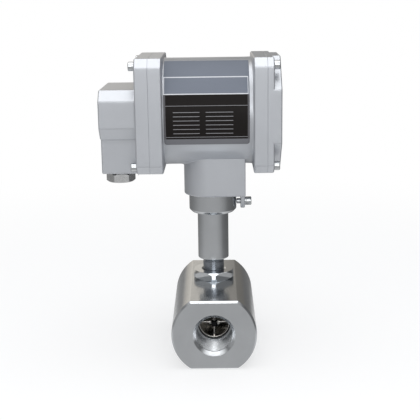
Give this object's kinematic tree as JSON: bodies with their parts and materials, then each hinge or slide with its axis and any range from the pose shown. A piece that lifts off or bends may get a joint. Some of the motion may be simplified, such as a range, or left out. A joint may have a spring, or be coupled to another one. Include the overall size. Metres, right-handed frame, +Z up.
{
  "type": "turbine flow meter",
  "caption": "Turbine flow meter: threaded pipe body with an axial rotor, a stem with the magnetic pickup, and a turnable transmitter head with a terminal box and a display window.",
  "frame": {"origin": "on the flat under the pipe body, below the stem's axis", "axes": "+Z up along the stem, -Y out of the inlet port along the pipe, +X towards the display window"},
  "size_m": [0.0948, 0.078, 0.1611],
  "materials": {
    "body_steel": "satin turned stainless steel",
    "vane_steel": "machined stainless steel",
    "bearing_dark": "dark hard metal",
    "spring_steel": "spring steel",
    "rotor_steel": "magnetic stainless steel",
    "bright_steel": "polished stainless steel",
    "seal_rubber": "black rubber",
    "coil_brown": "wound coil on a plastic bobbin",
    "magnet_iron": "soft iron and magnet",
    "lead_grey": "grey cable sheath",
    "socket_white": "white plug",
    "cast_grey": "satin light grey die casting",
    "clear_glass": "clear glass",
    "ring_black": "black anodised",
    "screw_steel": "bright steel screws",
    "nickel_brass": "nickel-plated brass",
    "board_green": "green circuit board",
    "plain_brass": "brass",
    "display_grey": "grey-green display",
    "mask_black": "matt black mask",
    "block_green": "green moulding",
    "plate_blue_grey": "printed plate, blue-grey",
    "plate_black": "printed plate, black"
  },
  "bodies": {
    "meter": {"meter_body": "body_steel", "inlet_straightener": "vane_steel", "outlet_straightener": "vane_steel", "inlet_bearing": "bearing_dark", "outlet_bearing": "bearing_dark", "inlet_retaining_ring": "spring_steel", "outlet_retaining_ring": "spring_steel", "lock_nut": "bright_steel", "stem_tube": "bright_steel", "stem_collar": "bright_steel", "neck_seal": "seal_rubber", "pickup_coil": "coil_brown", "pickup_core": "magnet_iron", "pickup_magnet": "magnet_iron", "signal_lead": "lead_grey"},
    "rotor": {"turbine_rotor": "rotor_steel", "rotor_shaft": "bearing_dark"},
    "head": {"signal_plug": "socket_white", "signal_socket": "socket_white", "housing": "cast_grey", "terminal_seal": "seal_rubber", "display_seal": "seal_rubber", "terminal_cover": "cast_grey", "display_cover": "cast_grey", "window_glass": "clear_glass", "window_ring": "ring_black", "terminal_cover_screws": "screw_steel", "display_cover_screws": "screw_steel", "blanking_plug": "nickel_brass", "plug_washer": "seal_rubber", "clamp_washer": "screw_steel", "clamp_screw": "screw_steel", "main_board": "board_green", "display_board": "board_green", "main_board_screws": "screw_steel", "board_standoffs": "plain_brass", "display_board_screws": "screw_steel", "display_module": "display_grey", "display_mask": "mask_black", "terminal_block": "block_green", "terminal_screws": "screw_steel", "upper_plate": "plate_blue_grey", "rating_plate": "plate_black"}
  },
  "joints": [
    {"name": "rotor_spin", "type": "hinge", "parent": "meter", "child": "rotor", "pos_m": [0, 0, 0.01875], "axis": [0, 1, 0], "continuous": true},
    {"name": "head_swivel", "type": "hinge", "parent": "meter", "child": "head", "pos_m": [0, 0, 0.0863], "axis": [0, 0, 1], "range_deg": [-170, 170]}
  ]
}
